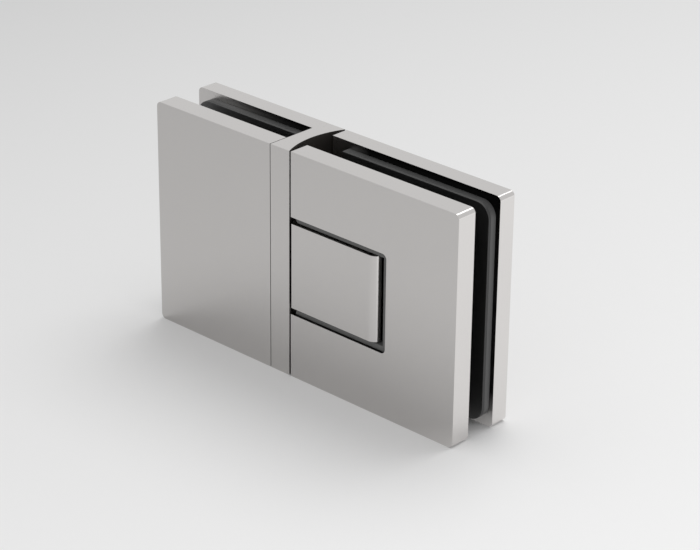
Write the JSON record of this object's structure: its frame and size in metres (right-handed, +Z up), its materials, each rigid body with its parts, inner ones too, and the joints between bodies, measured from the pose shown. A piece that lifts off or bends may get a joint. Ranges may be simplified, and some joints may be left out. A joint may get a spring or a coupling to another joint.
{
  "type": "glass door hinge",
  "caption": "Glass-to-glass door hinge: clamp plates on both sides of each pane, a hollowed cheek and a knuckle in a notch, swinging both ways on an upright pin.",
  "frame": {"origin": "centre of the underside, below the middle of the closed hinge", "axes": "+X from the fixed half to the door half, +Y from the front to the rear face, +Z up along the swing axis"},
  "size_m": [0.15, 0.029, 0.09],
  "materials": {
    "satin_metal": "satin-polished plating, even and without grain lines",
    "facing_rubber": "matt black rubber sheet",
    "packing_plastic": "smooth dark grey sheet",
    "trim_plastic": "smooth dark grey moulding",
    "spring_urethane": "translucent amber urethane",
    "bearing_plastic": "natural white acetal",
    "screw_steel": "bright stainless steel, turned",
    "hardened_steel": "ground steel",
    "block_metal": "steel, blackened"
  },
  "bodies": {
    "fixed_half": {"fixed_body": "satin_metal", "fixed_front_plate": "satin_metal", "knuckle": "satin_metal", "knuckle_screws": "screw_steel", "upper_bush": "bearing_plastic", "lower_bush": "bearing_plastic", "detent_plunger": "hardened_steel", "detent_spring": "spring_urethane", "fixed_front_facing": "facing_rubber", "fixed_rear_facing": "facing_rubber", "fixed_packing": "packing_plastic", "fixed_clamp_screws": "screw_steel"},
    "door_half": {"door_front_plate": "satin_metal", "door_rear_plate": "satin_metal", "notch_trim_front": "trim_plastic", "notch_trim_rear": "trim_plastic", "hinge_pin": "hardened_steel", "upper_pin_block": "block_metal", "lower_pin_block": "block_metal", "door_front_facing": "facing_rubber", "door_rear_facing": "facing_rubber", "door_packing": "packing_plastic", "door_clamp_screws": "screw_steel"}
  },
  "joints": [
    {"name": "door_swing", "type": "hinge", "parent": "fixed_half", "child": "door_half", "pos_m": [0.0245, 0, 0.045], "axis": [0, 0, 1], "range_deg": [-90, 90]}
  ]
}
